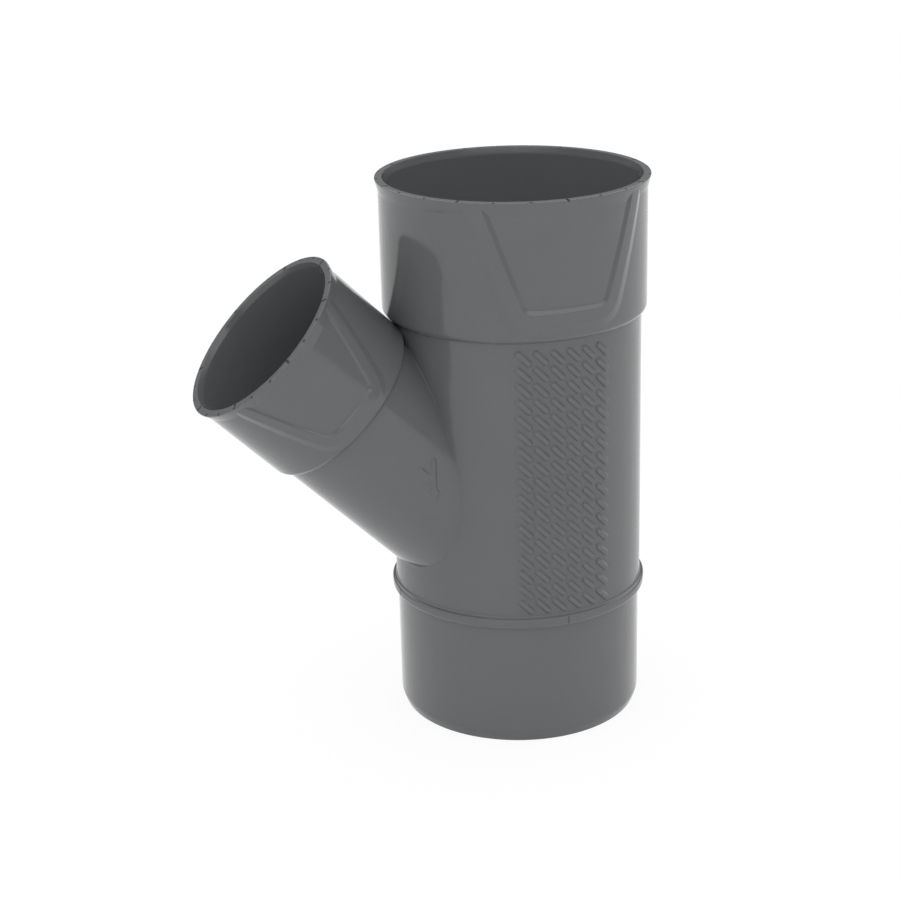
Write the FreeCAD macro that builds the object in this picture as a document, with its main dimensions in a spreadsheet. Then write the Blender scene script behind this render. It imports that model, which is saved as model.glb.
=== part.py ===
import FreeCAD, Part
import math
import os
import Sketcher
from FreeCAD import Placement, Rotation, Vector

# Lateral wye for 110 mm drain pipe with a 45 degree branch for 75 mm pipe, moulded in one piece.
# Frame: +Z up along the main run, origin at the centre of the spigot's end, branch towards -X.

# Driving sizes, in millimetres, degrees and counts.
drivingSizes = {
    # main run
    "spigotRadius": 55.0,
    "spigotWall": 3.0,
    "spigotLength": 54.9,
    "leadInHeight": 4.0,
    "leadInInset": 1.45,
    "beadWidth": 6.4,
    "beadRise": 1.8,
    "beadChamfer": 1.3,
    "bodyStep": 0.7,
    # main socket
    "stopAboveCrotch": 3.6,
    "socketDepth": 57.0,
    "pipeClearance": 0.2,
    "socketWall": 2.9,
    "shoulderDrop": 3.7,
    "shoulderRise": 4.2,
    "kneeInset": 0.6,
    "kneeRise": 2.8,
    "flareHeight": 4.9,
    "flareRise": 1.35,
    "lipHeight": 0.7,
    "mouthHeight": 3.0,
    "mouthFlare": 1.0,
    # branch
    "branchAngle": 45.0,
    "branchAboveBead": 12.4,
    "branchStopPastBody": 2.43,
    "branchPipeRadius": 37.5,
    "branchClearance": 0.15,
    "branchTubeStep": 0.4,
    "branchTubeWall": 3.2,
    "branchSocketDepth": 44.0,
    "branchSocketWall": 2.65,
    "branchFlareHeight": 4.2,
    "branchFlareRise": 1.3,
    "branchMouthHeight": 2.5,
    "branchMouthFlare": 0.75,
    "junctionFillet": 1.0,
    # notches in both rims and in the bead
    "notchWidth": 1.2,
    "notchLength": 1.1,
    "notchDepth": 0.5,
    "notchCount": 24,
    "longNotchCount": 8,
    "edgeNotchCount": 4,
    # raised panel frame on both sides of each socket
    "frameWidth": 6.9,
    "frameSlope": 2.2,
    "frameRise": 1.2,
    "frameTopHalfWidth": 37.45,
    "frameLean": 20.6,
    "frameCornerRadius": 9.0,
    "frameFloorGap": 10.0,
    "branchFrameWidth": 5.3,
    "branchFrameSlope": 1.8,
    "branchFrameRise": 1.0,
    "branchFrameTopHalfWidth": 28.85,
    "branchFrameLean": 21.0,
    "branchFrameCornerRadius": 6.5,
    "branchFrameFloorGap": 7.25,
    # flow mark on both sides of the branch: a bar with an arrow head and a side arm
    "markWidth": 1.4,
    "markRise": 0.4,
    "markInset": 2.65,
    "markAboveBranch": 43.8,
    "markLength": 18.7,
    "markHeadWidth": 4.0,
    "markHeadLength": 4.6,
    "markArmMeet": 7.8,
    "markArmReach": 5.6,
    "markArmTurn": 48.0,
    # how far one shape reaches into the next
    "overlap": 1.0,
}

# Sizes worked out from the driving ones.
derivedSizes = {
    "bodyRadius": "=spigotRadius + bodyStep",
    "boreRadius": "=spigotRadius - spigotWall",
    "leadInRadius": "=spigotRadius - leadInInset",
    "beadTop": "=spigotLength + beadWidth",
    "beadRadius": "=bodyRadius + beadRise",
    "beadRoot": "=boreRadius + overlap",
    "beadInner": "=beadRadius - beadChamfer",
    "beadLow": "=spigotLength + beadChamfer",
    "beadHigh": "=beadTop - beadChamfer",
    "branchTubeRadius": "=branchPipeRadius + branchTubeStep",
    "branchSocketBore": "=branchPipeRadius + branchClearance",
    "branchSocketRadius": "=branchSocketBore + branchSocketWall",
    "branchSine": "=sin(branchAngle * 1 deg)",
    "branchCosine": "=cos(branchAngle * 1 deg)",
    "branchRootHeight": "=beadTop + branchAboveBead",
    "branchHeight": "=branchRootHeight + (branchTubeRadius - bodyRadius * branchCosine) / branchSine",
    "crotchHeight": "=branchHeight + (branchSocketRadius + bodyRadius * branchCosine) / branchSine",
    "stopHeight": "=crotchHeight + stopAboveCrotch",
    "fittingHeight": "=stopHeight + socketDepth",
    "shoulderHeight": "=stopHeight - shoulderDrop",
    "shoulderTop": "=shoulderHeight + shoulderRise",
    "socketBore": "=spigotRadius + pipeClearance",
    "socketRadius": "=socketBore + socketWall",
    "kneeRadius": "=socketRadius - kneeInset",
    "kneeHeight": "=shoulderHeight + kneeRise",
    "lipRadius": "=socketRadius + flareRise",
    "lipLow": "=fittingHeight - lipHeight",
    "flareLow": "=lipLow - flareHeight",
    "mouthRadius": "=socketBore + mouthFlare",
    "mouthLow": "=fittingHeight - mouthHeight",
    "cutLow": "=-overlap",
    "cutHigh": "=fittingHeight + overlap",
    "branchBore": "=branchTubeRadius - branchTubeWall",
    "branchMeet": "=(bodyRadius + branchTubeRadius * branchCosine) / branchSine",
    "branchStop": "=branchMeet + branchStopPastBody",
    "branchReach": "=branchStop + branchSocketDepth",
    "branchShoulder": "=branchStop - shoulderDrop",
    "branchShoulderTop": "=branchShoulder + shoulderRise",
    "branchKneeRadius": "=branchSocketRadius - kneeInset",
    "branchKneeHeight": "=branchShoulder + kneeRise",
    "branchLipRadius": "=branchSocketRadius + branchFlareRise",
    "branchLipLow": "=branchReach - lipHeight",
    "branchFlareLow": "=branchLipLow - branchFlareHeight",
    "branchMouthRadius": "=branchSocketBore + branchMouthFlare",
    "branchMouthLow": "=branchReach - branchMouthHeight",
    "branchCutHigh": "=branchReach + overlap",
    "rimMiddle": "=(mouthRadius + lipRadius) / 2",
    "rimSpan": "=lipRadius - mouthRadius + overlap",
    "branchRimMiddle": "=(branchMouthRadius + branchLipRadius) / 2",
    "branchRimSpan": "=branchLipRadius - branchMouthRadius + overlap",
    "edgeNotchSpan": "=2 * overlap",
    "beadMiddle": "=spigotLength + beadWidth / 2",
    "beadNotchRadius": "=beadRadius - notchDepth",
    "markRingInner": "=branchTubeRadius - overlap",
    "markRingOuter": "=branchTubeRadius + markRise",
    "markThrough": "=2 * branchLipRadius",
    "markOffset": "=bodyRadius - markInset",
    "markFoot": "=branchHeight + markAboveBranch",
    "markNear": "=markOffset - markWidth / 2",
    "markFar": "=markOffset + markWidth / 2",
    "markHeadNear": "=markOffset - markHeadWidth / 2",
    "markHeadFar": "=markOffset + markHeadWidth / 2",
    "markHeadTop": "=markFoot + markHeadLength",
    "markTop": "=markFoot + markLength",
    "markArmLow": "=markFoot + markArmMeet",
    "markArmHigh": "=markArmLow + markWidth / cos(markArmTurn * 1 deg)",
    "markEndFar": "=markFar + markArmReach",
    "markEndLow": "=markArmLow + markArmReach * tan(markArmTurn * 1 deg)",
    "markEndNear": "=markEndFar - markWidth * sin(markArmTurn * 1 deg)",
    "markEndHigh": "=markEndLow + markWidth * cos(markArmTurn * 1 deg)",
}

os.makedirs("parts", exist_ok=True)
document = FreeCAD.newDocument("LateralWye")
sheet = document.addObject("Spreadsheet::Sheet", "sizes")
for row, (name, value) in enumerate({**drivingSizes, **derivedSizes}.items(), start=1):
    sheet.set(f"A{row}", name)
    sheet.set(f"B{row}", str(value))
    sheet.setAlias(f"B{row}", name)
document.recompute()


def size(name):
    return float(sheet.get(name)) if name else 0.0


def bind(item, path, name):
    item.setExpression(path, f"sizes.{name}")


def originFeature(body, role):
    for feature in body.Origin.OriginFeatures:
        if feature.Role == role:
            return feature


def newSketch(body, name, role, offset=("", "", ""), turnAxis=Vector(0, 0, 1), turnFormula=""):
    # a sketch on one of its body's planes, shifted and turned by sizes from the sheet
    sketch = body.newObject("Sketcher::SketchObject", name)
    sketch.AttachmentSupport = [(originFeature(body, role), "")]
    sketch.MapMode = "FlatFace"
    sketch.AttachmentOffset = Placement(Vector(), Rotation(turnAxis, 1.0))
    for letter, formula in zip("xyz", offset):
        if formula:
            sketch.setExpression(f".AttachmentOffset.Base.{letter}", formula)
    sketch.setExpression(".AttachmentOffset.Rotation.Angle", turnFormula or "0 deg")
    document.recompute()
    return sketch


def branchSketch(body, name):
    # stands the sketch's own upright on the branch axis
    return newSketch(
        body, name, "XZ_Plane", ("", "sizes.branchHeight", ""), turnFormula="sizes.branchAngle * 1 deg"
    )


def fixCorner(sketch, side, names, point):
    for kind, axis, name, value in (("DistanceX", -2, names[0], point.x), ("DistanceY", -1, names[1], point.y)):
        if name:
            index = sketch.addConstraint(Sketcher.Constraint(kind, -1, 1, side, 1, value))
            bind(sketch, f"Constraints[{index}]", name)
        else:
            sketch.addConstraint(Sketcher.Constraint("PointOnObject", side, 1, axis))


def drawProfile(sketch, corners):
    # a closed outline of straight sides; each corner is (across, up) by the names of its sizes
    points = [Vector(size(across), size(up), 0) for across, up in corners]
    count = len(points)
    for index in range(count):
        sketch.addGeometry(Part.LineSegment(points[index], points[(index + 1) % count]), False)
    for index, names in enumerate(corners):
        sketch.addConstraint(Sketcher.Constraint("Coincident", (index - 1) % count, 2, index, 1))
        fixCorner(sketch, index, names, points[index])
    document.recompute()


def drawBar(sketch, lengthName, widthName):
    # a rectangle about the sketch's origin, length along its level axis
    halfLength = size(lengthName) / 2
    halfWidth = size(widthName) / 2
    points = [
        Vector(-halfLength, -halfWidth, 0),
        Vector(halfLength, -halfWidth, 0),
        Vector(halfLength, halfWidth, 0),
        Vector(-halfLength, halfWidth, 0),
    ]
    for index, point in enumerate(points):
        sketch.addGeometry(Part.LineSegment(point, points[(index + 1) % 4]), False)
    for index in range(4):
        sketch.addConstraint(Sketcher.Constraint("Coincident", index, 2, (index + 1) % 4, 1))
        sketch.addConstraint(Sketcher.Constraint("Vertical" if index % 2 else "Horizontal", index))
    sketch.addConstraint(Sketcher.Constraint("Symmetric", 0, 1, 2, 1, -1, 1))
    length = sketch.addConstraint(Sketcher.Constraint("DistanceX", 0, 1, 0, 2, 2 * halfLength))
    bind(sketch, f"Constraints[{length}]", lengthName)
    width = sketch.addConstraint(Sketcher.Constraint("DistanceY", 1, 1, 1, 2, 2 * halfWidth))
    bind(sketch, f"Constraints[{width}]", widthName)
    document.recompute()


def revolve(body, name, corners, cut=False, onBranch=False):
    if onBranch:
        sketch = branchSketch(body, name + "Profile")
    else:
        sketch = newSketch(body, name + "Profile", "XZ_Plane")
    drawProfile(sketch, corners)
    feature = body.newObject("PartDesign::Groove" if cut else "PartDesign::Revolution", name)
    feature.Profile = sketch
    feature.ReferenceAxis = (sketch, ["V_Axis"])
    feature.Angle = 360
    document.recompute()
    return feature


def pocketRing(body, sketch, name, axis, countName, outward=False):
    # one notch, repeated evenly about an axis
    pocket = body.newObject("PartDesign::Pocket", name)
    pocket.Profile = sketch
    pocket.Reversed = outward
    bind(pocket, "Length", "edgeNotchSpan" if outward else "notchDepth")
    document.recompute()
    ring = body.newObject("PartDesign::PolarPattern", name + "Ring")
    ring.Originals = [pocket]
    ring.Axis = axis
    ring.Angle = 360
    bind(ring, "Occurrences", countName)
    body.Tip = ring
    document.recompute()
    return ring


# the outside: trunk and branch tube meet first, so that one fillet runs round their junction
fitting = document.addObject("PartDesign::Body", "Fitting")
revolve(fitting, "Trunk", [
    ("", ""),
    ("leadInRadius", ""),
    ("spigotRadius", "leadInHeight"),
    ("spigotRadius", "beadLow"),
    ("bodyRadius", "beadLow"),
    ("bodyRadius", "mouthLow"),
    ("", "mouthLow"),
])
tube = revolve(fitting, "BranchTube", [
    ("", ""),
    ("branchTubeRadius", ""),
    ("branchTubeRadius", "branchMouthLow"),
    ("", "branchMouthLow"),
], onBranch=True)
crossings = [
    f"Edge{number}"
    for number, edge in enumerate(tube.Shape.Edges, start=1)
    if isinstance(edge.Curve, Part.BSplineCurve)
]
junction = fitting.newObject("PartDesign::Fillet", "JunctionFillet")
junction.Base = (tube, crossings)
bind(junction, "Radius", "junctionFillet")
document.recompute()

revolve(fitting, "Bead", [
    ("beadRoot", "spigotLength"),
    ("beadInner", "spigotLength"),
    ("beadRadius", "beadLow"),
    ("beadRadius", "beadHigh"),
    ("beadInner", "beadTop"),
    ("beadRoot", "beadTop"),
])
revolve(fitting, "Socket", [
    ("", "shoulderHeight"),
    ("bodyRadius", "shoulderHeight"),
    ("kneeRadius", "kneeHeight"),
    ("socketRadius", "shoulderTop"),
    ("socketRadius", "flareLow"),
    ("lipRadius", "lipLow"),
    ("lipRadius", "fittingHeight"),
    ("", "fittingHeight"),
])
revolve(fitting, "BranchSocket", [
    ("", "branchShoulder"),
    ("branchTubeRadius", "branchShoulder"),
    ("branchKneeRadius", "branchKneeHeight"),
    ("branchSocketRadius", "branchShoulderTop"),
    ("branchSocketRadius", "branchFlareLow"),
    ("branchLipRadius", "branchLipLow"),
    ("branchLipRadius", "branchReach"),
    ("", "branchReach"),
], onBranch=True)

# the inside: waterway, pipe stop and flared mouth of each run
revolve(fitting, "MainBore", [
    ("", "cutLow"),
    ("boreRadius", "cutLow"),
    ("boreRadius", "stopHeight"),
    ("socketBore", "stopHeight"),
    ("socketBore", "mouthLow"),
    ("mouthRadius", "fittingHeight"),
    ("mouthRadius", "cutHigh"),
    ("", "cutHigh"),
], cut=True)
revolve(fitting, "BranchBore", [
    ("", ""),
    ("branchBore", ""),
    ("branchBore", "branchStop"),
    ("branchSocketBore", "branchStop"),
    ("branchSocketBore", "branchMouthLow"),
    ("branchMouthRadius", "branchReach"),
    ("branchMouthRadius", "branchCutHigh"),
    ("", "branchCutHigh"),
], cut=True, onBranch=True)

# notches: short ones round both rims, long ones at every eighth, and four in the outer edge
upright = (originFeature(fitting, "Z_Axis"), [""])


def rimSketch(name, radiusName):
    return newSketch(
        fitting, name, "XY_Plane", (f"sizes.{radiusName}", "", "sizes.fittingHeight")
    )


def branchRimSketch(name, radiusName):
    # on the branch's rim: out along the branch axis, then across to the notch's radius
    out = "sizes.branchReach"
    across = f"sizes.{radiusName}"
    turn = "sizes.branchAngle * 1 deg"
    offset = (
        f"{across} * cos({turn}) - {out} * sin({turn})",
        "",
        f"sizes.branchHeight + {out} * cos({turn}) + {across} * sin({turn})",
    )
    return newSketch(
        fitting, name, "XY_Plane", offset, turnAxis=Vector(0, 1, 0), turnFormula=f"-1 * ({turn})"
    )


branchLine = document.getObject("BranchTubeProfile")
branchAxis = (branchLine, ["V_Axis"])
for label, makeSketch, axis, middle, span, edge in (
    ("Rim", rimSketch, upright, "rimMiddle", "rimSpan", "lipRadius"),
    ("BranchRim", branchRimSketch, branchAxis, "branchRimMiddle", "branchRimSpan", "branchLipRadius"),
):
    short = makeSketch(label + "NotchOutline", middle)
    drawBar(short, "notchLength", "notchWidth")
    pocketRing(fitting, short, label + "Notch", axis, "notchCount")
    long = makeSketch(label + "LongNotchOutline", middle)
    drawBar(long, span, "notchWidth")
    pocketRing(fitting, long, label + "LongNotch", axis, "longNotchCount")
beadNotch = newSketch(fitting, "BeadNotchOutline", "XZ_Plane", ("", "sizes.beadMiddle", "sizes.beadNotchRadius"))
drawBar(beadNotch, "notchWidth", "beadWidth")
pocketRing(fitting, beadNotch, "BeadNotch", upright, "edgeNotchCount", outward=True)

# flow mark: its outline cut through both sides of the branch, kept only just above the tube's wall
mark = document.addObject("PartDesign::Body", "MarkOutline")
markSketch = newSketch(mark, "MarkProfile", "XZ_Plane")
drawProfile(markSketch, [
    ("markOffset", "markFoot"),
    ("markHeadFar", "markHeadTop"),
    ("markFar", "markHeadTop"),
    ("markFar", "markArmLow"),
    ("markEndFar", "markEndLow"),
    ("markEndNear", "markEndHigh"),
    ("markFar", "markArmHigh"),
    ("markFar", "markTop"),
    ("markNear", "markTop"),
    ("markNear", "markHeadTop"),
    ("markHeadNear", "markHeadTop"),
])
markPad = mark.newObject("PartDesign::Pad", "MarkPad")
markPad.Profile = markSketch
markPad.Midplane = True
bind(markPad, "Length", "markThrough")
mark.Placement = Placement(Vector(), Rotation(Vector(0, 0, 1), 180))
rings = []
for name, radiusName in (("MarkRingOuter", "markRingOuter"), ("MarkRingInner", "markRingInner")):
    ring = document.addObject("Part::Cylinder", name)
    bind(ring, "Radius", radiusName)
    bind(ring, "Height", "branchShoulder")
    ring.Placement = Placement(Vector(), Rotation(Vector(0, -1, 0), 1.0))
    ring.setExpression(".Placement.Base.z", "sizes.branchHeight")
    ring.setExpression(".Placement.Rotation.Angle", "sizes.branchAngle * 1 deg")
    rings.append(ring)
markRing = document.addObject("Part::Cut", "MarkRing")
markRing.Base = rings[0]
markRing.Tool = rings[1]
flowMark = document.addObject("Part::Common", "FlowMark")
flowMark.Base = mark
flowMark.Tool = markRing
document.recompute()


# points along each side of a frame's outline, for a smooth curve around the socket
frameSteps = 8


def wrapped(radius, turnRadius, across, height):
    # a point of a flat drawing laid around an upright cylinder, facing -Y
    angle = across / turnRadius
    return Vector(radius * math.sin(angle), -radius * math.cos(angle), height)


def frameCurve(frame, offset, radius):
    # the frame's U at one offset from its centre line: a leg, a corner, the floor, a corner, a leg
    lean = math.radians(frame["lean"])
    cornerHeight = frame["floor"] + frame["corner"]
    cornerAcross = (
        frame["topHalfWidth"]
        - (frame["entry"] - cornerHeight) * math.tan(lean)
        - frame["corner"] / math.cos(lean)
    )
    cornerRadius = frame["corner"] + offset
    topAcross = (
        frame["topHalfWidth"]
        + (frame["top"] - frame["entry"]) * math.tan(lean)
        + offset / math.cos(lean)
    )

    def corner(side, share):
        angle = -lean - share * (math.pi / 2 - lean)
        across = cornerAcross + cornerRadius * math.cos(angle)
        return side * across, cornerHeight + cornerRadius * math.sin(angle)

    def straight(start, end, share):
        return (
            start[0] + (end[0] - start[0]) * share,
            start[1] + (end[1] - start[1]) * share,
        )

    steps = [index / frameSteps for index in range(frameSteps + 1)]
    leftTop = (-topAcross, frame["top"])
    rightTop = (topAcross, frame["top"])
    runs = [
        [straight(leftTop, corner(-1, 0), share) for share in steps],
        [corner(-1, share) for share in steps],
        [straight(corner(-1, 1), corner(1, 1), share) for share in steps],
        [corner(1, 1 - share) for share in steps],
        [straight(corner(1, 0), rightTop, share) for share in steps],
    ]
    edges = []
    for run in runs:
        curve = Part.BSplineCurve()
        curve.interpolate([wrapped(radius, frame["radius"], across, height) for across, height in run])
        edges.append(curve.toShape())
    return edges


def raisedFrame(frame):
    # a flat crest with a slope on each side that runs down into the socket's wall
    crest = (frame["width"] - frame["slope"]) / 2
    root = crest + 2 * frame["slope"]
    outer = frame["radius"] + frame["rise"]
    inner = frame["radius"] - frame["rise"]
    section = [(-crest, outer), (crest, outer), (root, inner), (-root, inner)]
    curves = [frameCurve(frame, offset, radius) for offset, radius in section]
    faces = []
    for index, curve in enumerate(curves):
        after = curves[(index + 1) % len(curves)]
        faces += [Part.makeRuledSurface(first, second) for first, second in zip(curve, after)]
    for run in (0, -1):
        end = [curve[run].Vertexes[run].Point for curve in curves]
        faces.append(Part.Face(Part.makePolygon(end + end[:1])))
    shell = Part.makeShell(faces)
    shell.sewShape()
    solid = Part.makeSolid(shell)
    if solid.Volume < 0:
        solid.reverse()
    return solid


# the raised frames, each drawn on the front of its socket and mirrored to the back
branchPlacement = Placement(
    Vector(0, 0, size("branchHeight")), Rotation(Vector(0, 1, 0), -size("branchAngle"))
)
socketFrame = document.addObject("Part::Feature", "SocketFrame")
socketFrame.Shape = raisedFrame({
    "radius": size("socketRadius"),
    "rise": size("frameRise"),
    "width": size("frameWidth"),
    "slope": size("frameSlope"),
    "topHalfWidth": size("frameTopHalfWidth"),
    "lean": size("frameLean"),
    "corner": size("frameCornerRadius"),
    "floor": size("shoulderHeight") + size("frameFloorGap"),
    "entry": size("flareLow"),
    "top": size("lipLow"),
})
branchFrame = document.addObject("Part::Feature", "BranchFrame")
branchFrame.Shape = raisedFrame({
    "radius": size("branchSocketRadius"),
    "rise": size("branchFrameRise"),
    "width": size("branchFrameWidth"),
    "slope": size("branchFrameSlope"),
    "topHalfWidth": size("branchFrameTopHalfWidth"),
    "lean": size("branchFrameLean"),
    "corner": size("branchFrameCornerRadius"),
    "floor": size("branchShoulder") + size("branchFrameFloorGap"),
    "entry": size("branchFlareLow"),
    "top": size("branchLipLow"),
})
branchFrame.Placement = branchPlacement
raised = [flowMark, socketFrame, branchFrame]
for front in (socketFrame, branchFrame):
    back = document.addObject("Part::Mirroring", front.Name + "Back")
    back.Source = front
    back.Normal = Vector(0, 1, 0)
    raised.append(back)
document.recompute()

# the moulding as one solid
whole = document.addObject("Part::MultiFuse", "WholeFitting")
whole.Shapes = [fitting] + raised
whole.Label = "wye_fitting"
document.recompute()
for item in document.Objects:
    if "Invalid" in item.State or "Error" in item.State:
        raise ValueError(item.Name + " is not valid")
if whole.Shape.isNull() or not whole.Shape.isValid() or len(whole.Shape.Solids) != 1:
    raise ValueError("the fitting is not one sound solid")
whole.Shape.exportStep("parts/wye_fitting.step")
print("wye_fitting", round(whole.Shape.Volume), "mm3")
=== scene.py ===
import bpy
import math
import numpy as np
from mathutils import Matrix, Vector


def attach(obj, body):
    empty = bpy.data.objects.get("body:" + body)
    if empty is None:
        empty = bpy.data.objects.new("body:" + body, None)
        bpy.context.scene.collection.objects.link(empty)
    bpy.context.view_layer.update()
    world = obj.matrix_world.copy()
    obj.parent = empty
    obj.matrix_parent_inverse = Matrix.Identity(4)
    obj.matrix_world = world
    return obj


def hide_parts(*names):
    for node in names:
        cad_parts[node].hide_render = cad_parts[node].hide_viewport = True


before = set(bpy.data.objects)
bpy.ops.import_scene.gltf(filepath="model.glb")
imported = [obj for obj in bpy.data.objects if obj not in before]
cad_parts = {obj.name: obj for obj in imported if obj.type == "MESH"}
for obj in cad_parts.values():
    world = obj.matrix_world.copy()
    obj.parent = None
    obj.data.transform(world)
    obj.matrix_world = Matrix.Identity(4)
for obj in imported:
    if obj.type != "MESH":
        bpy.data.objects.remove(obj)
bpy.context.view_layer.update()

mm = 0.001

# how curves are drawn: degrees that one piece of an arc may take, degrees up to which an edge is
# shaded smooth, pieces in an eased step, and the turn of the bores in parts of one segment
drawing = {
    "arcStep": 11.0,
    "smoothUnder": 28.0,
    "easedSteps": 7,
    "closeBy": 0.01,
    "slopeShare": 1e-4,
    "boreShift": 0.5,
}

# the upright run, in millimetres
mainRun = {
    "spigotRadius": 55.0,
    "leadInRadius": 53.55,
    "leadInHeight": 4.0,
    "leadInRound": 7.0,
    "endRound": 0.25,
    "beadFoot": 54.8,
    "beadLow": 57.55,
    "beadLowRounds": (1.1, 1.5),
    "beadHigh": 59.6,
    "beadTop": 61.9,
    "beadHighRounds": (1.0, 1.4),
    "beadRadius": 57.5,
    "bodyRadius": 55.7,
    "shoulderLow": 184.7,
    "shoulderHigh": 188.2,
    "shoulderRounds": (0.3, 3.2),
    "socketRadius": 58.1,
    "flareLow": 239.3,
    "flareRound": 2.0,
    "lipLow": 244.3,
    "lipFootRound": 0.6,
    "lipRadius": 59.45,
    "lipRound": 0.4,
    "top": 244.9,
    "boreRadius": 52.0,
    "boreStart": -4.0,
    "bevel": 0.5,
    "bevelLow": -0.2,
    "bevelHigh": 0.4,
    "bevelRound": 0.3,
    "stop": 187.9,
    "stopRounds": (0.3, 0.6),
    "socketBore": 55.2,
    "mouthLow": 241.9,
    "mouthFootRound": 3.0,
    "mouthRadius": 56.2,
    "segments": 256,
}

# the branch, in millimetres along its own axis, and its place on the upright run
branchRun = {
    "angle": 45.0,
    "height": 71.6,
    "bodyRadius": 37.9,
    "shoulderLow": 115.4,
    "shoulderHigh": 118.8,
    "shoulderRounds": (0.3, 2.8),
    "socketRadius": 40.3,
    "flareLow": 158.2,
    "flareRound": 2.0,
    "lipLow": 162.6,
    "lipFootRound": 0.6,
    "lipRadius": 41.6,
    "lipRound": 0.35,
    "top": 163.1,
    "boreRadius": 34.7,
    "boreStart": 8.0,
    "stop": 119.1,
    "stopRounds": (0.3, 0.6),
    "socketBore": 37.65,
    "mouthLow": 160.6,
    "mouthFootRound": 3.0,
    "mouthRadius": 38.4,
    "segments": 208,
}


def branchPlace(unit):
    # the branch's own axes set into the fitting's, for lengths in the given unit
    lean = Matrix.Rotation(math.radians(-branchRun["angle"]), 4, "Y")
    return Matrix.Translation((0, 0, branchRun["height"] * unit)) @ lean


branchInMetres = branchPlace(mm)
branchInMm = branchPlace(1)


def roundedCorners(corners):
    # (across, up, radius) corners of a profile turned into points, with an arc at each rounded one
    points = []
    for index, (across, up, radius) in enumerate(corners):
        here = np.array((across, up), float)
        if not radius or index in (0, len(corners) - 1):
            points.append(here)
            continue
        back = np.array(corners[index - 1][:2], float) - here
        ahead = np.array(corners[index + 1][:2], float) - here
        back /= np.linalg.norm(back)
        ahead /= np.linalg.norm(ahead)
        turn = math.pi - math.acos(np.clip(back @ ahead, -1, 1))
        cut = radius * math.tan(turn / 2)
        middle = back + ahead
        centre = here + middle / np.linalg.norm(middle) * radius / math.cos(turn / 2)
        start = here + back * cut - centre
        end = here + ahead * cut - centre
        steps = max(2, round(math.degrees(turn) / drawing["arcStep"]))
        for step in range(steps + 1):
            share = step / steps
            spoke = start * math.sin((1 - share) * turn) + end * math.sin(share * turn)
            points.append(centre + spoke / math.sin(turn))
    return points


def easedStep(start, end, rounds, steps=drawing["easedSteps"]):
    # from one upright wall to another: a round, a straight slope and a round
    start = np.array(start, float)
    end = np.array(end, float)
    across, up = np.abs(end - start)
    signs = np.sign(end - start)
    both = sum(rounds)
    turn = math.atan2(up, both - across) - math.acos(min(1, both / math.hypot(both - across, up)))
    angles = turn * np.arange(steps + 1) / steps
    bend = np.stack([1 - np.cos(angles), np.sin(angles)], axis=1)
    first = start + signs * rounds[0] * bend
    last = (end - signs * rounds[1] * bend)[::-1]
    if np.linalg.norm(last[0] - first[-1]) < drawing["closeBy"]:
        last = last[1:]
    return list(first) + list(last)


def meshFrom(name, points, faces, normals):
    # a mesh with its wanted shading directions kept on its face corners
    mesh = bpy.data.meshes.new(name)
    mesh.from_pydata([tuple(point) for point in points], [], faces)
    wanted = mesh.attributes.new("wanted", "FLOAT_VECTOR", "CORNER")
    wanted.data.foreach_set("vector", np.asarray(normals, np.float32).ravel())
    piece = bpy.data.objects.new(name, mesh)
    bpy.context.scene.collection.objects.link(piece)
    return piece


def turnPiece(piece, matrix):
    # moves a mesh and its wanted shading directions together
    mesh = piece.data
    mesh.transform(matrix)
    wanted = mesh.attributes["wanted"].data
    values = np.empty(len(wanted) * 3, np.float32)
    wanted.foreach_get("vector", values)
    turned = values.reshape(-1, 3) @ np.array(matrix.to_3x3()).T
    wanted.foreach_set("vector", turned.astype(np.float32).ravel())


def lathe(name, profile, segments, matrix=None, shift=0.0):
    # turns a profile that starts and ends on the axis into a closed body
    # shift turns its vertices by that part of one segment
    profile = np.array(profile, float) * mm
    sides = np.diff(profile, axis=0)
    flat = np.stack([sides[:, 1], -sides[:, 0]], axis=1)
    flat /= np.linalg.norm(flat, axis=1)[:, None]
    starts = flat.copy()
    ends = flat.copy()
    for index in range(1, len(flat)):
        if flat[index - 1] @ flat[index] > math.cos(math.radians(drawing["smoothUnder"])):
            shared = flat[index - 1] + flat[index]
            ends[index - 1] = starts[index] = shared / np.linalg.norm(shared)
    angles = (np.arange(segments) + shift) * 2 * math.pi / segments
    spokes = np.stack([np.cos(angles), np.sin(angles)], axis=1)
    rings = profile[1:-1]
    points = [np.array((0, 0, profile[0][1]))]
    for across, up in rings:
        points += [np.array((across * c, across * s, up)) for c, s in spokes]
    points.append(np.array((0, 0, profile[-1][1])))
    faces = []
    normals = []

    def corner(direction, spoke):
        return (direction[0] * spokes[spoke][0], direction[0] * spokes[spoke][1], direction[1])

    last = len(points) - 1
    top = 1 + (len(rings) - 1) * segments
    for column in range(segments):
        after = (column + 1) % segments
        faces.append((0, 1 + after, 1 + column))
        normals += [(0, 0, -1)] * 3
        faces.append((last, top + column, top + after))
        normals += [(0, 0, 1)] * 3
        for row in range(len(rings) - 1):
            low = 1 + row * segments
            high = low + segments
            faces.append((low + column, low + after, high + after, high + column))
            start = starts[row + 1]
            end = ends[row + 1]
            normals += [corner(start, column), corner(start, after), corner(end, after), corner(end, column)]
    piece = meshFrom(name, points, faces, normals)
    if matrix:
        turnPiece(piece, matrix)
    return piece


def combine(piece, other, operation):
    # an exact boolean, applied at once; the second body is used up
    modifier = piece.modifiers.new(operation, "BOOLEAN")
    modifier.object = other
    modifier.operation = operation
    modifier.solver = "EXACT"
    bpy.context.view_layer.update()
    evaluated = piece.evaluated_get(bpy.context.evaluated_depsgraph_get())
    result = bpy.data.meshes.new_from_object(evaluated)
    piece.modifiers.clear()
    piece.data = result
    bpy.data.objects.remove(other)
    print(operation, len(result.polygons), "faces")


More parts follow.
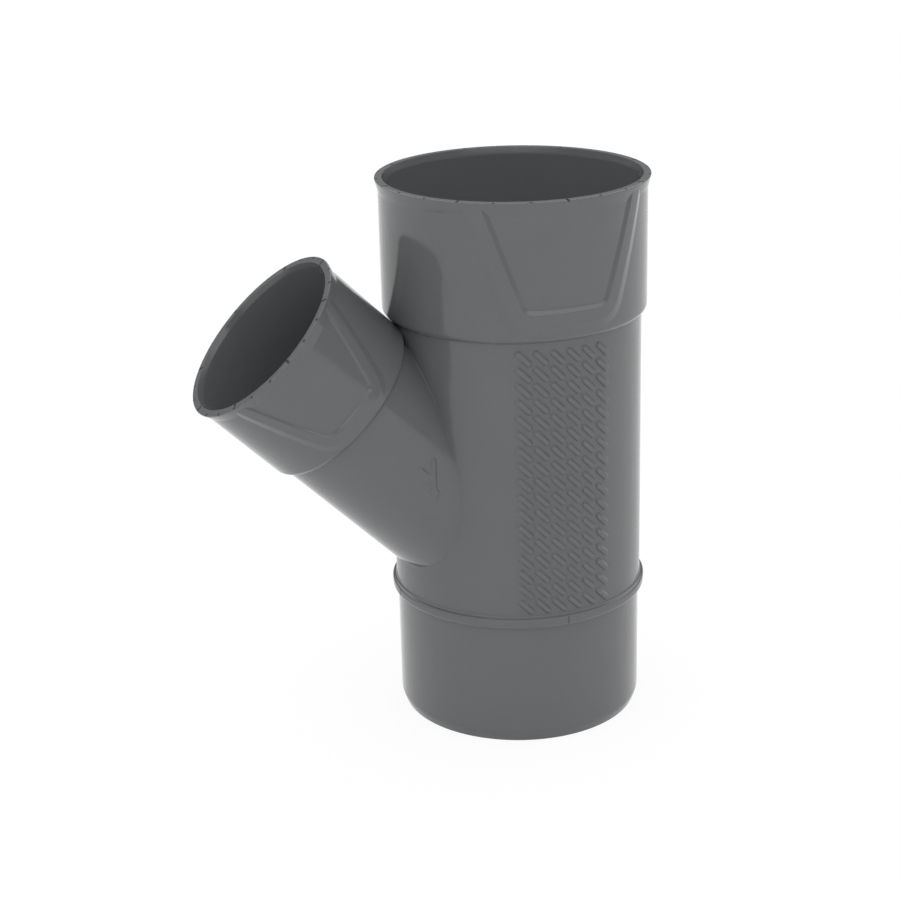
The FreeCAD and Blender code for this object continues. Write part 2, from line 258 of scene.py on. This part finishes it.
def mainLower():
    # the spigot with its lead-in, and the bead
    spigot = roundedCorners([
        (0, 0, 0),
        (mainRun["leadInRadius"], 0, mainRun["endRound"]),
        (mainRun["spigotRadius"], mainRun["leadInHeight"], mainRun["leadInRound"]),
        (mainRun["spigotRadius"], mainRun["beadFoot"], 0),
    ])
    beadRise = easedStep(
        (mainRun["spigotRadius"], mainRun["beadFoot"]),
        (mainRun["beadRadius"], mainRun["beadLow"]),
        mainRun["beadLowRounds"],
    )
    beadFall = easedStep(
        (mainRun["beadRadius"], mainRun["beadHigh"]),
        (mainRun["bodyRadius"], mainRun["beadTop"]),
        mainRun["beadHighRounds"],
    )
    return spigot[:-1] + beadRise + beadFall


def branchLower():
    # the branch tube starts on the upright run's axis
    return [np.array((0, 0)), np.array((branchRun["bodyRadius"], 0))]


def runOutside(run, lower):
    # the outer profile from the run's own lower part up to its rim
    shoulder = easedStep(
        (run["bodyRadius"], run["shoulderLow"]),
        (run["socketRadius"], run["shoulderHigh"]),
        run["shoulderRounds"],
    )
    socket = roundedCorners([
        (run["socketRadius"], run["shoulderHigh"], 0),
        (run["socketRadius"], run["flareLow"], run["flareRound"]),
        (run["lipRadius"], run["lipLow"], run["lipFootRound"]),
        (run["lipRadius"], run["top"], run["lipRound"]),
        (0, run["top"], 0),
    ])
    return lower + shoulder + socket[1:]


def mainBoreLower():
    # the waterway comes in from below the spigot and bevels its end
    return [
        (0, mainRun["boreStart"], 0),
        (mainRun["boreRadius"] + 2 * mainRun["bevel"], mainRun["boreStart"], 0),
        (mainRun["boreRadius"] + mainRun["bevel"], mainRun["bevelLow"], mainRun["bevelRound"]),
        (mainRun["boreRadius"], mainRun["bevelHigh"], mainRun["bevelRound"]),
    ]


def branchBoreLower():
    # the waterway of the branch starts inside the main one
    return [(0, branchRun["boreStart"], 0), (branchRun["boreRadius"], branchRun["boreStart"], 0)]


def runInside(run, lower):
    # the inner profile: waterway, stop, socket and mouth, with the mouth's slope carried on past the rim
    pastRadius = 2 * run["mouthRadius"] - run["socketBore"]
    pastTop = 2 * run["top"] - run["mouthLow"]
    return roundedCorners(lower + [
        (run["boreRadius"], run["stop"], run["stopRounds"][0]),
        (run["socketBore"], run["stop"], run["stopRounds"][1]),
        (run["socketBore"], run["mouthLow"], run["mouthFootRound"]),
        (pastRadius, pastTop, 0),
        (0, pastTop, 0),
    ])


fitting = lathe("wyeFitting", runOutside(mainRun, mainLower()), mainRun["segments"])
branch = lathe("branch", runOutside(branchRun, branchLower()), branchRun["segments"], branchInMetres)
mainBore = lathe(
    "mainBore",
    runInside(mainRun, mainBoreLower()),
    mainRun["segments"],
    shift=drawing["boreShift"],
)
branchBore = lathe(
    "branchBore",
    runInside(branchRun, branchBoreLower()),
    branchRun["segments"],
    branchInMetres,
    drawing["boreShift"],
)
combine(fitting, branch, "UNION")
combine(fitting, mainBore, "DIFFERENCE")
combine(fitting, branchBore, "DIFFERENCE")

# the small cuts in both rims and in the bead, in millimetres
notch = {
    "count": 24,
    "width": 1.1,
    "length": 1.2,
    "outward": 0.9,
    "depth": 0.7,
    "longEvery": 3,
    "longInset": (0.25, 0.15),
    "open": 18,
    "openReach": 0.4,
    "beadCount": 4,
    "beadWidth": 0.6,
    "beadDepth": 0.4,
    "margin": 1.0,
}


def cutBoxes(boxes, matrix=None):
    # boxes turned round the axis, each given as (turn, low and high across, half width, low and high up)
    points = []
    faces = []
    normals = []
    sides = ((0, 3, 2, 1), (4, 5, 6, 7), (0, 1, 5, 4), (1, 2, 6, 5), (2, 3, 7, 6), (3, 0, 4, 7))
    ways = ((0, 0, -1), (0, 0, 1), (0, -1, 0), (1, 0, 0), (0, 1, 0), (-1, 0, 0))
    for angle, low, high, wide, bottom, top in boxes:
        turn = Matrix.Rotation(angle, 4, "Z")
        place = matrix @ turn if matrix else turn
        start = len(points)
        for up in (bottom, top):
            for across, side in ((low, -wide), (high, -wide), (high, wide), (low, wide)):
                points.append(place @ (Vector((across, side, up)) * mm))
        for side, way in zip(sides, ways):
            faces.append(tuple(start + corner for corner in side))
            normals += [tuple(place.to_3x3() @ Vector(way))] * 4
    return meshFrom("notches", points, faces, normals)


def rimNotches(run, matrix=None):
    # short cuts round a rim; every third one is long, and the one at the front runs out through the lip
    boxes = []
    middle = (run["mouthRadius"] + run["lipRadius"]) / 2 + notch["outward"]
    bottom = run["top"] - notch["depth"]
    for index in range(notch["count"]):
        low = middle - notch["length"] / 2
        high = middle + notch["length"] / 2
        if index % notch["longEvery"] == 0:
            low = run["mouthRadius"] + notch["longInset"][0]
            high = run["lipRadius"] - notch["longInset"][1]
        if index == notch["open"]:
            high = run["lipRadius"] + notch["openReach"]
        angle = 2 * math.pi * index / notch["count"]
        boxes.append((angle, low, high, notch["width"] / 2, bottom, run["top"] + notch["margin"]))
    return cutBoxes(boxes, matrix)


def beadNotches():
    # narrow cuts across the bead's crest
    low = mainRun["beadRadius"] - notch["beadDepth"]
    high = mainRun["beadRadius"] + notch["margin"]
    bottom = mainRun["beadLow"] - notch["margin"]
    boxes = []
    for index in range(notch["beadCount"]):
        angle = 2 * math.pi * index / notch["beadCount"]
        boxes.append((angle, low, high, notch["beadWidth"] / 2, bottom, mainRun["beadTop"]))
    return cutBoxes(boxes)


combine(fitting, rimNotches(mainRun), "DIFFERENCE")
combine(fitting, rimNotches(branchRun, branchInMetres), "DIFFERENCE")
combine(fitting, beadNotches(), "DIFFERENCE")


def sheet(place, across, along):
    # a grid laid over a surface; place(u, v) gives a point in millimetres
    def at(u, v):
        return np.array(place(u, v), float)

    points = []
    normals = []
    du = (across[-1] - across[0]) * drawing["slopeShare"]
    dv = (along[-1] - along[0]) * drawing["slopeShare"]
    for v in along:
        for u in across:
            normal = np.cross(at(u + du, v) - at(u - du, v), at(u, v + dv) - at(u, v - dv))
            normals.append(normal / np.linalg.norm(normal))
            points.append(at(u, v) * mm)
    faces = []
    count = len(across)
    for row in range(len(along) - 1):
        for column in range(count - 1):
            low = row * count + column
            faces.append((low, low + 1, low + count + 1, low + count))
    cornerNormals = [normals[index] for face in faces for index in face]
    return points, faces, cornerNormals


# the fillet between body and branch tube: its radius in millimetres, the degrees it runs round the
# branch, and the number of its pieces
junction = {"radius": 0.25, "from": 20.0, "to": 340.0, "around": 260, "across": 7}


def junctionPlace(share, turn):
    # a ball rolled along the crotch: turn goes round the branch, share across the fillet
    ball = junction["radius"]
    lean = math.radians(branchRun["angle"])
    reach = branchRun["bodyRadius"] + ball
    wide = mainRun["bodyRadius"] + ball
    side = reach * math.sin(turn)
    level = reach * math.cos(turn)
    x = -math.sqrt(wide * wide - side * side)
    along = (level * math.cos(lean) - x) / math.sin(lean)
    z = branchRun["height"] + along * math.cos(lean) + level * math.sin(lean)
    centre = np.array((x, side, z))
    toBody = np.array((-x, -side, 0)) / wide
    upright = np.array((math.cos(lean), 0, math.sin(lean)))
    toTube = -(math.cos(turn) * upright + math.sin(turn) * np.array((0, 1, 0)))
    angle = math.acos(np.clip(toBody @ toTube, -1, 1))
    spoke = toTube * math.sin((1 - share) * angle) + toBody * math.sin(share * angle)
    return centre + spoke / math.sin(angle) * ball


turns = np.linspace(math.radians(junction["from"]), math.radians(junction["to"]), junction["around"])
shares = np.linspace(0, 1, junction["across"] + 1)
sheets = [sheet(junctionPlace, shares, turns)]

# the raised frame round each socket's panel, measured round the wall, in millimetres and degrees
mainFrame = {
    "radius": 58.1,
    "floor": 194.9,
    "entry": 239.9,
    "top": 243.9,
    "topHalfWidth": 37.45,
    "lean": 20.6,
    "corner": 9.0,
    "crest": 4.7,
    "innerSlope": 2.6,
    "innerRounds": (1.4, 1.2),
    "outerSlope": 5.0,
    "outerRounds": (2.0, 4.0),
    "rise": 1.0,
}
branchFrame = {
    "radius": 40.3,
    "floor": 123.35,
    "entry": 158.5,
    "top": 162.1,
    "topHalfWidth": 28.85,
    "lean": 21.0,
    "corner": 6.5,
    "crest": 3.5,
    "innerSlope": 1.75,
    "innerRounds": (1.0, 0.85),
    "outerSlope": 4.0,
    "outerRounds": (1.6, 3.0),
    "rise": 1.0,
}
# pieces in a frame's corner, leg, floor and slopes, how far it may pass its top, and how deep it sits
frameParts = {
    "cornerSteps": 12,
    "legSteps": 24,
    "floorSteps": 13,
    "slopeSteps": 6,
    "pastTop": 0.3,
    "sunk": 0.01,
}


def framePath(panel):
    # points and outward directions of the frame's centre line, from one top end to the other
    lean = math.radians(panel["lean"])
    cornerUp = panel["floor"] + panel["corner"]
    cornerAcross = (
        panel["topHalfWidth"]
        - (panel["entry"] - cornerUp) * math.tan(lean)
        - panel["corner"] / math.cos(lean)
    )
    topAcross = panel["topHalfWidth"] + (panel["top"] - panel["entry"]) * math.tan(lean)
    centre = np.array((cornerAcross, cornerUp))
    right = []
    for step in range(frameParts["cornerSteps"] + 1):
        angle = -math.pi / 2 + (math.pi / 2 - lean) * step / frameParts["cornerSteps"]
        out = np.array((math.cos(angle), math.sin(angle)))
        right.append((centre + out * panel["corner"], out))
    foot, legOut = right[-1]
    head = np.array((topAcross, panel["top"]))
    for step in range(1, frameParts["legSteps"] + 1):
        right.append((foot + (head - foot) * step / frameParts["legSteps"], legOut))
    left = [(point * (-1, 1), out * (-1, 1)) for point, out in right[::-1]]
    down = np.array((0.0, -1.0))
    floorLine = np.linspace(-cornerAcross, cornerAcross, frameParts["floorSteps"] + 1)[1:-1]
    middle = [(np.array((across, panel["floor"])), down) for across in floorLine]
    return left + middle + right


def frameSection(panel):
    # (across, rise) points over the frame, from the panel inside it to the wall outside it
    half = panel["crest"] / 2
    rise = panel["rise"]
    steps = frameParts["slopeSteps"]
    inner = easedStep((0, -half - panel["innerSlope"]), (rise, -half), panel["innerRounds"], steps)
    outer = easedStep((rise, half), (0, half + panel["outerSlope"]), panel["outerRounds"], steps)
    return np.array([(across, height) for height, across in inner + outer])


def frameSheet(panel, side, matrix=None):
    # one frame laid on its wall; side is -1 for the front and 1 for the back
    path = framePath(panel)
    section = frameSection(panel)
    slant = math.tan(math.radians(panel["lean"]))

    def unrolled(index, w):
        # a point of the flat sheet, slid down its leg where it would stand over the rim
        spot = path[index][0] + path[index][1] * w
        over = max(0, spot[1] - panel["top"] - frameParts["pastTop"])
        return spot - over * np.array((math.copysign(slant, spot[0]), 1))

    def place(w, t):
        index = min(len(path) - 2, max(0, int(t)))
        share = t - index
        around, up = unrolled(index, w) * (1 - share) + unrolled(index + 1, w) * share
        radius = panel["radius"] - frameParts["sunk"] + np.interp(w, section[:, 0], section[:, 1])
        angle = around / panel["radius"]
        spot = Vector((radius * math.sin(angle), side * radius * math.cos(angle), up))
        return matrix @ spot if matrix else spot

    return sheet(place, section[:, 0], np.arange(len(path)))


for side in (-1, 1):
    sheets.append(frameSheet(mainFrame, side))
    sheets.append(frameSheet(branchFrame, side, branchInMm))

# the grip strokes on both sides of the body, in millimetres and degrees
grip = {
    "length": 8.9,
    "width": 2.9,
    "turn": -45.0,
    "rise": 1.0,
    "pitchAcross": 7.22,
    "pitchUp": 7.02,
    "topRow": 178.3,
    "columns": 6,
    "rows": 17,
    "endSteps": 6,
    "sideShares": (0.5, 0.0, -0.5),
}
# the arrow's outline on the branch tube, counterclockwise as (x, z) seen from the front
flowMark = {
    "rise": 0.5,
    "edge": 0.7,
    "outline": (
        (-53.0, 114.8), (-51.7, 117.6), (-51.0, 119.5), (-52.0, 120.8), (-52.2, 122.2), (-52.0, 128.0),
        (-51.9, 133.2), (-52.2, 134.5), (-53.1, 135.0), (-54.0, 134.5), (-54.3, 133.2), (-54.6, 127.8),
        (-56.5, 129.4), (-58.3, 131.3), (-59.3, 132.2), (-60.3, 132.1), (-60.8, 131.2), (-59.8, 129.5),
        (-57.6, 127.35), (-55.5, 125.2), (-54.6, 123.3), (-54.3, 121.3), (-55.6, 120.2), (-54.8, 118.0),
    ),
}
# the side of a raised shape as (inwards from its outline, share of its height)
edgeShape = (
    (-0.35, -0.01), (-0.15, 0.03), (0.0, 0.1), (0.15, 0.28),
    (0.45, 0.78), (0.6, 0.93), (0.8, 0.99), (1.0, 1.0),
)


def stadium(centre):
    # the outline of one stroke, a turned bar with round ends
    radius = grip["width"] / 2
    straight = grip["length"] / 2 - radius
    points = []
    for sign in (1, -1):
        for angle in np.linspace(-math.pi / 2, math.pi / 2, grip["endSteps"] + 1):
            points.append((sign * (straight + radius * math.cos(angle)), sign * radius * math.sin(angle)))
        for share in grip["sideShares"]:
            points.append((sign * straight * share, sign * radius))
    c = math.cos(math.radians(grip["turn"]))
    s = math.sin(math.radians(grip["turn"]))
    return [np.array(centre) + (along * c - up * s, along * s + up * c) for along, up in points]


def raisedOutline(outline, rise, place, edge=1.0):
    # a low raised shape with steep rounded sides; outline runs counterclockwise
    count = len(outline)
    outs = []
    for index in range(count):
        along = outline[(index + 1) % count] - outline[index - 1]
        out = np.array((along[1], -along[0]))
        outs.append(out / np.linalg.norm(out))
    points = []
    for inset, height in edgeShape:
        for index in range(count):
            flat = outline[index] - outs[index] * inset * edge
            points.append(np.array(place(*flat, height * rise)) * mm)
    faces = []
    for level in range(len(edgeShape) - 1):
        for index in range(count):
            after = (index + 1) % count
            low = level * count
            faces.append((low + index, low + after, low + count + after, low + count + index))
    top = (len(edgeShape) - 1) * count
    faces.append(tuple(top + index for index in range(count)))
    return points, faces


def onBody(x, z, height, side=-1):
    # a point of the body's wall seen along Y at x, z
    radius = mainRun["bodyRadius"] + height
    return x, side * math.sqrt(radius * radius - x * x), z


def onTube(x, z, height, side=-1):
    # a point of the branch tube's wall seen along Y at x, z
    lean = math.radians(branchRun["angle"])
    level = x * math.cos(lean) + (z - branchRun["height"]) * math.sin(lean)
    radius = branchRun["bodyRadius"] + height
    return x, side * math.sqrt(radius * radius - level * level), z


def smoothNormals(points, faces):
    # every corner gets the mean direction of the faces round its point
    points = np.array(points)
    sums = np.zeros_like(points)
    for face in faces:
        ring = points[list(face)]
        normal = np.cross(ring, np.roll(ring, -1, axis=0)).sum(axis=0)
        normal /= np.linalg.norm(normal)
        for index in face:
            sums[index] += normal
    sums /= np.linalg.norm(sums, axis=1)[:, None]
    return [sums[index] for face in faces for index in face]


def bothSides(outline, rise, place, edge=1.0):
    # a raised shape at the front and its mirror image at the back
    def atBack(x, z, height):
        return place(x, z, height, side=1)

    points, faces = raisedOutline(outline, rise, place, edge)
    sheets.append((points, faces, smoothNormals(points, faces)))
    points, faces = raisedOutline(outline, rise, atBack, edge)
    faces = [face[::-1] for face in faces]
    sheets.append((points, faces, smoothNormals(points, faces)))


for column in range(grip["columns"]):
    across = (column - (grip["columns"] - 1) / 2) * grip["pitchAcross"]
    for row in range(grip["rows"]):
        bothSides(stadium((across, grip["topRow"] - row * grip["pitchUp"])), grip["rise"], onBody)
arrow = [np.array(point) for point in flowMark["outline"]]
bothSides(arrow, flowMark["rise"], onTube, flowMark["edge"])


def addSheets(piece, sheets):
    # joins the laid-over grids to the body's mesh and sets every corner's shading direction
    mesh = piece.data
    points = np.empty(len(mesh.vertices) * 3, np.float32)
    mesh.vertices.foreach_get("co", points)
    points = list(points.reshape(-1, 3))
    faces = [tuple(polygon.vertices) for polygon in mesh.polygons]
    wanted = np.empty(len(mesh.loops) * 3, np.float32)
    mesh.attributes["wanted"].data.foreach_get("vector", wanted)
    wanted = wanted.reshape(-1, 3)
    for polygon in mesh.polygons:
        flat = np.array(polygon.normal)
        for loop in polygon.loop_indices:
            if wanted[loop] @ flat < 0:
                wanted[loop] *= -1
    wanted = list(wanted)
    for sheetPoints, sheetFaces, sheetNormals in sheets:
        start = len(points)
        points += sheetPoints
        faces += [tuple(start + index for index in face) for face in sheetFaces]
        wanted += sheetNormals
    joined = bpy.data.meshes.new(piece.name)
    joined.from_pydata([tuple(map(float, point)) for point in points], [], faces)
    joined.update()
    joined.shade_smooth()
    wanted = np.array(wanted, np.float32)
    wanted /= np.linalg.norm(wanted, axis=1)[:, None]
    joined.normals_split_custom_set(wanted)
    piece.data = joined


addSheets(fitting, sheets)
print("fitting made", len(fitting.data.polygons), "faces")

# scales are in noise cells per metre, heights in metres
plastic = {
    "colour": (0.117, 0.12, 0.124, 1),
    "darker": (0.107, 0.11, 0.114, 1),
    "mottleScale": 45.0,
    "mottleDetail": 5.0,
    "roughness": (0.08, 0.12),
    "sheenScale": 103.5,
    "sheenDetail": 4.0,
    "sheenReach": (0.3, 0.7),
    "ior": 1.43,
    "waveScale": 60.0,
    "waveDetail": 1.0,
    "waveHeight": 0.00012,
    "grainScale": 900.0,
    "grainDetail": 2.0,
    "grainHeight": 0.00002,
}


def greyPlastic():
    # half-gloss grey plastic: a faint mottle, uneven sheen, slow waves and a fine grain
    material = bpy.data.materials.new("greyPlastic")
    material.use_nodes = True
    nodes = material.node_tree.nodes
    links = material.node_tree.links
    shader = nodes["Principled BSDF"]
    shader.inputs["IOR"].default_value = plastic["ior"]
    spot = nodes.new("ShaderNodeTexCoord")

    def noise(kind):
        texture = nodes.new("ShaderNodeTexNoise")
        texture.inputs["Scale"].default_value = plastic[kind + "Scale"]
        texture.inputs["Detail"].default_value = plastic[kind + "Detail"]
        links.new(spot.outputs["Object"], texture.inputs["Vector"])
        return texture.outputs["Fac"]

    def bump(kind):
        relief = nodes.new("ShaderNodeBump")
        relief.inputs["Distance"].default_value = plastic[kind + "Height"]
        links.new(noise(kind), relief.inputs["Height"])
        return relief

    colours = nodes.new("ShaderNodeMix")
    colours.data_type = "RGBA"
    colours.inputs[6].default_value = plastic["darker"]
    colours.inputs[7].default_value = plastic["colour"]
    links.new(noise("mottle"), colours.inputs[0])
    links.new(colours.outputs[2], shader.inputs["Base Color"])
    sheen = nodes.new("ShaderNodeMapRange")
    sheen.inputs["From Min"].default_value = plastic["sheenReach"][0]
    sheen.inputs["From Max"].default_value = plastic["sheenReach"][1]
    sheen.inputs["To Min"].default_value = plastic["roughness"][0]
    sheen.inputs["To Max"].default_value = plastic["roughness"][1]
    links.new(noise("sheen"), sheen.inputs["Value"])
    links.new(sheen.outputs["Result"], shader.inputs["Roughness"])
    wave = bump("wave")
    grain = bump("grain")
    links.new(wave.outputs["Normal"], grain.inputs["Normal"])
    links.new(grain.outputs["Normal"], shader.inputs["Normal"])
    return material


fitting.data.materials.append(greyPlastic())
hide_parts("wye_fitting")
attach(fitting, "root")

# the floor in metres; glow is the share of its own light that the camera and reflections see
ground = {"reach": 30.0, "drop": 0.0002, "colour": (0.98, 0.98, 0.98, 1), "glow": 0.9}


def paleFloor():
    # nearly white to the eye, and still with the fitting's soft shadow
    material = bpy.data.materials.new("paleFloor")
    material.use_nodes = True
    nodes = material.node_tree.nodes
    links = material.node_tree.links
    nodes.clear()
    diffuse = nodes.new("ShaderNodeBsdfDiffuse")
    diffuse.inputs["Color"].default_value = ground["colour"]
    glow = nodes.new("ShaderNodeEmission")
    glow.inputs["Color"].default_value = (1, 1, 1, 1)
    glow.inputs["Strength"].default_value = 1.0
    path = nodes.new("ShaderNodeLightPath")
    seen = nodes.new("ShaderNodeMath")
    seen.operation = "MAXIMUM"
    links.new(path.outputs["Is Camera Ray"], seen.inputs[0])
    links.new(path.outputs["Is Glossy Ray"], seen.inputs[1])
    share = nodes.new("ShaderNodeMath")
    share.operation = "MULTIPLY"
    share.inputs[1].default_value = ground["glow"]
    links.new(seen.outputs[0], share.inputs[0])
    mix = nodes.new("ShaderNodeMixShader")
    links.new(share.outputs[0], mix.inputs[0])
    links.new(diffuse.outputs[0], mix.inputs[1])
    links.new(glow.outputs[0], mix.inputs[2])
    output = nodes.new("ShaderNodeOutputMaterial")
    links.new(mix.outputs[0], output.inputs["Surface"])
    return material


def makeFloor():
    reach = ground["reach"]
    corners = [(-reach, -reach, 0), (reach, -reach, 0), (reach, reach, 0), (-reach, reach, 0)]
    mesh = bpy.data.meshes.new("floor")
    mesh.from_pydata(corners, [], [(0, 1, 2, 3)])
    mesh.materials.append(paleFloor())
    plane = bpy.data.objects.new("floor", mesh)
    plane.location.z = -ground["drop"]
    bpy.context.scene.collection.objects.link(plane)
    return plane


floor = makeFloor()

# a soft room: bright above its dim lower walls, a little dimmer overhead; wall and ceiling are the
# heights, as the Z of a direction, between which the light changes
room = {"dim": 0.25, "bright": 1.95, "wall": (0.325, 0.41), "ceiling": (0.62, 0.74), "overhead": 0.5}


def softRoom():
    world = bpy.data.worlds.new("studio")
    world.use_nodes = True
    nodes = world.node_tree.nodes
    links = world.node_tree.links
    way = nodes.new("ShaderNodeTexCoord")
    toward = nodes.new("ShaderNodeSeparateXYZ")
    links.new(way.outputs["Generated"], toward.inputs[0])

    def level(heights, low, high):
        # an eased change of strength between two heights of the sky
        change = nodes.new("ShaderNodeMapRange")
        change.interpolation_type = "SMOOTHSTEP"
        change.inputs["From Min"].default_value = heights[0]
        change.inputs["From Max"].default_value = heights[1]
        change.inputs["To Min"].default_value = low
        change.inputs["To Max"].default_value = high
        links.new(toward.outputs["Z"], change.inputs["Value"])
        return change.outputs["Result"]

    strength = nodes.new("ShaderNodeMath")
    strength.operation = "MULTIPLY"
    links.new(level(room["wall"], room["dim"], room["bright"]), strength.inputs[0])
    links.new(level(room["ceiling"], 1, room["overhead"]), strength.inputs[1])
    links.new(strength.outputs[0], nodes["Background"].inputs["Strength"])
    nodes["Background"].inputs["Color"].default_value = (1, 1, 1, 1)
    return world


bpy.context.scene.world = softRoom()
bpy.context.scene.view_settings.view_transform = "Standard"
print("floor and light made")

# the camera at the photograph's viewing angle: its place in metres, its turn round X, Y and Z in degrees
cameraView = {
    "place": (-0.318484, -0.775521, 0.423324),
    "turn": (70.03387, 1.402044, -20.797833),
    "sensor": 36.0,
    "lens": 79.125,
    "near": 0.01,
    "far": 100.0,
}


def photoCamera():
    data = bpy.data.cameras.new("camera")
    data.sensor_width = cameraView["sensor"]
    data.lens = cameraView["lens"]
    data.clip_start = cameraView["near"]
    data.clip_end = cameraView["far"]
    camera = bpy.data.objects.new("camera", data)
    camera.location = cameraView["place"]
    camera.rotation_euler = [math.radians(angle) for angle in cameraView["turn"]]
    bpy.context.scene.collection.objects.link(camera)
    return camera


bpy.context.scene.camera = photoCamera()
print("camera made")
